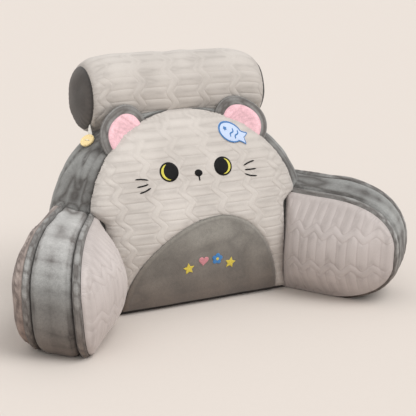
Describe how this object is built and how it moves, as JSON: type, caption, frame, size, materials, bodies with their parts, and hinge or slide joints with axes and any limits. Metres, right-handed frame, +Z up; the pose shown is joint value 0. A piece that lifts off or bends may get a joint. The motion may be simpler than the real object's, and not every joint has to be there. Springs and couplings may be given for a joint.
{
  "type": "lumbar pillow",
  "caption": "Filled back-rest pillow with padded arm rests, quilted velvet front with a cat face, plush ears and a round quilted head roll held by elastic loops on wooden buttons",
  "frame": {"origin": "middle of the flat underside, at floor height", "axes": "+X across the pillow towards the sitter's left arm rest, the right of the picture; +Y from the front to the back; +Z up; the sitter faces -Y"},
  "size_m": [0.8486, 0.4531, 0.5019],
  "materials": {
    "dark_plush": "short dark grey plush, matt with a soft sheen",
    "cap_plush": "short very dark grey brown plush",
    "belly_plush": "short warm grey plush",
    "quilted_velvet": "light warm grey quilted velvet, satin sheen",
    "arm_velvet": "light pinkish grey quilted velvet, satin sheen",
    "pink_lining": "pale pink short plush",
    "fish_cloth": "pale blue woven cloth",
    "elastic": "white woven elastic",
    "button_wood": "pale turned wood, satin"
  },
  "bodies": {
    "root": {"body": "dark_plush", "front_panel": "quilted_velvet", "belly_patch": "belly_plush", "arm_left": "dark_plush", "arm_left_panel": "arm_velvet", "arm_left_side": "dark_plush", "arm_left_lip_inner": "dark_plush", "arm_left_lip_outer": "dark_plush", "arm_right": "dark_plush", "arm_right_panel": "arm_velvet", "arm_right_side": "dark_plush", "arm_right_lip_inner": "dark_plush", "arm_right_lip_outer": "dark_plush", "ear_left": "dark_plush", "ear_left_lining": "pink_lining", "ear_right": "dark_plush", "ear_right_lining": "pink_lining", "fish_patch": "fish_cloth", "bolster": "quilted_velvet", "bolster_cap_left": "cap_plush", "strap_left": "elastic", "button_left": "button_wood", "bolster_cap_right": "cap_plush", "strap_right": "elastic", "button_right": "button_wood"}
  },
  "joints": []
}
